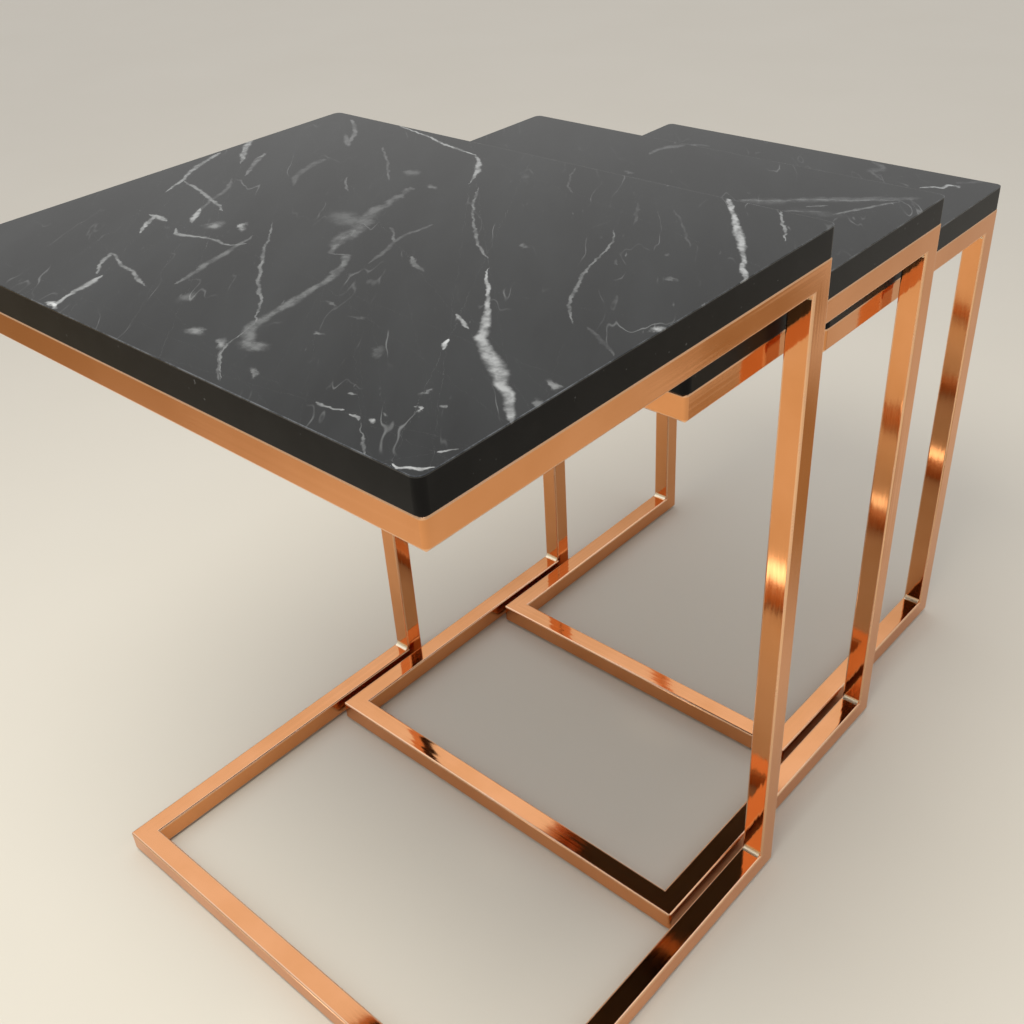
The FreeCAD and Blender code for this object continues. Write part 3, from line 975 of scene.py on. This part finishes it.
def turned_part(profile, sides):
    """A solid turned on a lathe from (radius, height) pairs that start and end on the axis."""
    mesh = bmesh.new()
    rings = []
    for radius, height in profile:
        count = sides if radius else 1
        angles = [math.tau * step / count for step in range(count)]
        points = [(radius * math.cos(angle), radius * math.sin(angle), height) for angle in angles]
        rings.append([mesh.verts.new(point) for point in points])
    for near, far in zip(rings, rings[1:]):
        for j in range(sides):
            k = (j + 1) % sides
            corners = (near[j % len(near)], near[k % len(near)], far[k % len(far)], far[j % len(far)])
            mesh.faces.new(list(dict.fromkeys(corners)))
    bmesh.ops.recalc_face_normals(mesh, faces=mesh.faces)
    return mesh


def screw_blank(length):
    """A pan-head screw, its head down and its seat at the origin."""
    profile = [(0, -SCREW_HEAD_HEIGHT)]
    ease_middle = (SCREW_HEAD - SCREW_HEAD_EASE, SCREW_HEAD_EASE - SCREW_HEAD_HEIGHT)
    profile += bend_points(ease_middle, SCREW_HEAD_EASE, -QUARTER, 0)
    profile += [(SCREW_HEAD, 0), (SCREW_SHANK, 0), (SCREW_SHANK, length), (0, length)]
    return turned_part(profile, SCREW_SIDES)


def cross_punch():
    """The tapered cross that forms the recess in the head."""
    half = SCREW_SLOT / 2
    arm = [(SCREW_SHANK, -half), (SCREW_SHANK, half), (half, half)]
    outline = []
    for _ in range(4):
        outline += arm
        arm = [(-y, x) for x, y in arm]
    mesh = bmesh.new()
    rings = []
    for share, reach in ((1, -SCREW_SLOT_DEPTH), (SLOT_TAPER, SCREW_SLOT_DEPTH)):
        z = reach - SCREW_HEAD_HEIGHT
        rings.append([mesh.verts.new((x * share, y * share, z)) for x, y in outline])
    bmesh.ops.recalc_face_normals(mesh, faces=joined(mesh, rings, closed=False))
    return mesh


def zinc_plating():
    """Bright zinc: bluish grey crystal mottling with a yellowish haze."""
    material, tree, place = finish_material("zinc_plating")
    spangle = add(tree, "ShaderNodeTexVoronoi", {"Vector": place, "Scale": 1800.0}).outputs["Color"]
    grey = add(tree, "ShaderNodeRGBToBW", {"Color": spangle}).outputs["Val"]
    haze = noise(tree, place, 420.0, 4.0, 0.6)
    tone = blend(tree, grey, ZINC_DARK, ZINC_LIGHT)
    tone = blend(tree, ramp(tree, haze, 0.5, 0.8, 0.0, 0.4), tone, ZINC_YELLOWED)
    surfaced(tree, tone, ramp(tree, haze, 0.3, 0.7, 0.22, 0.4), haze, 0.3, 0.00004, Metallic=1.0)
    return material


def repeat_tree():
    """Geometry nodes that put one part at each point, turned by its own amount, and finish it."""
    tree = bpy.data.node_groups.new("repeated_part", "GeometryNodeTree")
    kinds = {"Places": "Geometry", "Part": "Object", "Finish": "Material", "Most turn": "Float"}
    sockets = {}
    for label, kind in kinds.items():
        socket = tree.interface.new_socket(label, in_out="INPUT", socket_type="NodeSocket" + kind)
        sockets[label] = socket.identifier
    tree.interface.new_socket("Parts", in_out="OUTPUT", socket_type="NodeSocketGeometry")
    given, made = tree.nodes.new("NodeGroupInput").outputs, tree.nodes.new("NodeGroupOutput").inputs
    part = add(tree, "GeometryNodeObjectInfo", {"Object": given["Part"]})
    random = add(tree, "FunctionNodeRandomValue", {3: given["Most turn"], "Seed": TURN_SEED})
    euler = add(tree, "ShaderNodeCombineXYZ", {"Z": random.outputs[1]})
    spread = add(tree, "GeometryNodeInstanceOnPoints", {
        "Points": given["Places"], "Instance": part.outputs["Geometry"], "Rotation": euler.outputs[0],
    })
    real = add(tree, "GeometryNodeRealizeInstances", {"Geometry": spread.outputs["Instances"]})
    finished = add(tree, "GeometryNodeSetMaterial", {
        "Geometry": real.outputs["Geometry"], "Material": given["Finish"],
    })
    tree.links.new(finished.outputs["Geometry"], made["Parts"])
    return tree, sockets


part_tree, part_sockets = repeat_tree()


def repeated_parts(node, word, blank, places, material, most_turn=0.0):
    """One piece with a finished blank at each place, in place of a CAD node."""
    template = set_down("blank", mesh_data("blank", blank))
    points = bpy.data.meshes.new("places")
    points.from_pydata(places, [], [])
    holder = set_down("places", points)
    modifier = holder.modifiers.new("repeat", "NODES")
    modifier.node_group = part_tree
    for label, value in (("Part", template), ("Finish", material), ("Most turn", most_turn)):
        modifier[part_sockets[label]] = value
    depsgraph = bpy.context.evaluated_depsgraph_get()
    result = bpy.data.meshes.new_from_object(holder.evaluated_get(depsgraph))
    mesh = bmesh.new()
    mesh.from_mesh(result)
    cleared(holder, template)
    bpy.data.meshes.remove(result)
    return made_piece(node, word, mesh, material)


def corner_places(low, high, reach, z):
    """Four places at one height, each a reach in from a corner of a box."""
    return [(x, y, z) for x in (low.x + reach, high.x - reach) for y in (low.y + reach, high.y - reach)]


zinc = zinc_plating()
for table in TABLES:
    node = f"{table}_fixing_screws"
    low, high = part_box(node)
    seat = low.z + SCREW_HEAD_HEIGHT
    screw = worked(screw_blank(high.z - seat), cross_punch())
    places = corner_places(low, high, SCREW_HEAD, seat)
    repeated_parts(node, "driven", screw, places, zinc, math.tau)


# --------------------------------------------------------------------
# Floor pads
# Round black rubber pads stuck under the side rails, front and back, with a chamfered rim.
PAD_RADIUS = 0.007
PAD_CHAMFER = 0.0005
PAD_SIDES = 56
RUBBER_BLACK, RUBBER_DUSTY = (0.014, 0.014, 0.014), (0.10, 0.095, 0.09)


def pad_rubber():
    """Black rubber with a fine moulded stipple and pale dust from the floor."""
    material, tree, place = finish_material("pad_rubber")
    stipple = noise(tree, place, 1600.0, 3.0, 0.6)
    dust = noise(tree, place, 260.0, 4.0, 0.6)
    tone = blend(tree, ramp(tree, dust, 0.45, 0.8, 0.0, 0.5), RUBBER_BLACK, RUBBER_DUSTY)
    surfaced(tree, tone, ramp(tree, stipple, 0.3, 0.7, 0.6, 0.85), stipple, 0.7, 0.0001)
    return material


rubber = pad_rubber()
for table in TABLES:
    node = f"{table}_floor_pads"
    low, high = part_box(node)
    height = high.z - low.z
    profile = [(0, 0), (PAD_RADIUS - PAD_CHAMFER, 0), (PAD_RADIUS, PAD_CHAMFER)]
    profile += [(PAD_RADIUS, height), (0, height)]
    places = corner_places(low, high, PAD_RADIUS, low.z)
    repeated_parts(node, "stuck", turned_part(profile, PAD_SIDES), places, rubber)


# --------------------------------------------------------------------
# Studio
# A pale, slightly warm floor, a plain sky that brightens overhead, and one broad soft light. Tan
# patches and glowing patches on the floor, seen only in mirrors, paint shade and glints on the plating.
FLOOR_HALF = 9.0
FLOOR_GAP = 0.0002          # keeps the floor clear of the pads' undersides
FLOOR_TONES = (0.585, 0.52, 0.41), (0.61, 0.545, 0.435)
# painted shade: tan patches that only mirrors see, darkening the plating's reflections
MIRRORED_SHADE_PATCHES = (              # x, y, half length, half width in millimetres, angle, strength
    (570, 570, 380, 190, 61, 1.0),
    (-1800, -935, 1400, 450, 0, 1.0),
    (866, 930, 280, 115, 90, 0.85),
)
GLINT_PATCHES = (            # painted glints that only mirrors see, one in front of each table's front rail
    (16, -438, 52, 27, 0, 1.0),
    (38, -189, 52, 20, 0, 0.6),
    (49, 41, 52, 20, 0, 1.0),
)
PATCH_REACH = 1.15          # where a patch has faded out, as a share of its half sizes
PATCH_HEIGHT = 0.004
PATCH_SIDES = 48
MIRRORED_SHADE_TAN, GLINT_WHITE = (0.34, 0.235, 0.115), (1.0, 0.95, 0.86)
GLINT_GLOW = 2.0
SKY_LOW, SKY_OVERHEAD = (0.565, 0.56, 0.55), (1.10, 1.17, 1.34)
SKY_TURNS = 0.50, 0.74      # heights between which one becomes the other, as sines
LAMP_WIDTH = 0.9
LAMP_COLOUR = (0.97, 1.0, 1.0)
LAMP_WATTS = 23.0
LAMP_PLACE = (0.05, -0.65, 1.75)
CAMERA_LENS = 41.53         # millimetres, as is the sensor
CAMERA_SENSOR = 36.0
CAMERA_REACH = 0.02, 60.0   # nearest and farthest that it sees
CAMERA_AWAY = Vector((0.3382, -0.2917, 0.2818))     # from the near top corner of the tables
CAMERA_TURN, CAMERA_DIP, CAMERA_ROLL = 43.956, 34.244, -3.864


def staged(name, mesh, place, finish):
    """Something of the studio's, moved by a matrix."""
    data = mesh_data(name, mesh)
    data.transform(place)
    data.materials.append(finish)
    thing = set_down(name, data)
    return thing


floor_finish, tree, place = finish_material("pale_floor")
floor_tone = blend(tree, noise(tree, place, 3.0, 3.0), *FLOOR_TONES)
shaded(tree, {"Base Color": floor_tone, "Roughness": 0.75, "Specular IOR Level": 0.2})
mesh = bmesh.new()
bmesh.ops.create_grid(mesh, x_segments=4, y_segments=4, size=FLOOR_HALF)
staged("floor", mesh, Matrix.Translation(DOWN * FLOOR_GAP), floor_finish)


def mirrored_patches(name, patches, colour, glow):
    """Soft-edged patches just above the floor that show only in mirrors."""
    finish, tree, place = finish_material(name)
    shaded(tree, {
        "Alpha": strongest(tree, [smoke_mask(tree, place, patch) for patch in patches]),
        "Base Color": colour, "Roughness": 0.9, "Specular IOR Level": 0.0,
        "Emission Color": colour, "Emission Strength": glow,
    })
    for number, (x, y, half_length, half_width, angle, _) in enumerate(patches):
        mesh = bmesh.new()
        bmesh.ops.create_circle(mesh, cap_ends=True, segments=PATCH_SIDES, radius=PATCH_REACH)
        laid = Matrix.Translation((x * MILLIMETRE, y * MILLIMETRE, PATCH_HEIGHT))
        laid @= Matrix.Rotation(math.radians(angle), 4, "Z")
        laid @= Matrix.Diagonal((half_length * MILLIMETRE, half_width * MILLIMETRE, 1, 1))
        patch = staged(f"{name}_{number}", mesh, laid, finish)
        patch.visible_camera = patch.visible_diffuse = patch.visible_shadow = False


# painted shade in the plating's reflections
mirrored_patches("tan_cloth", MIRRORED_SHADE_PATCHES, MIRRORED_SHADE_TAN, 0.0)
# painted glints in the plating's reflections
mirrored_patches("strip_light", GLINT_PATCHES, GLINT_WHITE, GLINT_GLOW)

world = bpy.data.worlds.new("studio")
scene.world = world
world.use_nodes = True
sky = world.node_tree
direction = add(sky, "ShaderNodeTexCoord").outputs["Generated"]
height = add(sky, "ShaderNodeSeparateXYZ", {"Vector": direction}).outputs["Z"]
glow = blend(sky, ramp(sky, height, *SKY_TURNS), SKY_LOW, SKY_OVERHEAD)
sky.links.new(glow, sky.nodes["Background"].inputs["Color"])

lamp_data = bpy.data.lights.new("soft_light", "AREA")
lamp_data.shape = "DISK"
lamp_data.size = LAMP_WIDTH
lamp_data.color = LAMP_COLOUR
lamp_data.energy = LAMP_WATTS
lamp = set_down("soft_light", lamp_data)
lamp.location = LAMP_PLACE
lamp.visible_glossy = False

camera_data = bpy.data.cameras.new("camera")
camera_data.lens = CAMERA_LENS
camera_data.sensor_width = CAMERA_SENSOR
camera_data.clip_start, camera_data.clip_end = CAMERA_REACH
camera = set_down("camera", camera_data)
camera.location = Vector((cad_high.x, cad_low.y, cad_high.z)) + CAMERA_AWAY
aim = Matrix.Rotation(math.radians(CAMERA_TURN), 4, "Z")
aim @= Matrix.Rotation(math.radians(90 - CAMERA_DIP), 4, "X")
aim @= Matrix.Rotation(math.radians(CAMERA_ROLL), 4, "Z")
camera.rotation_euler = aim.to_euler()
scene.camera = camera
scene.view_settings.view_transform = "Standard"
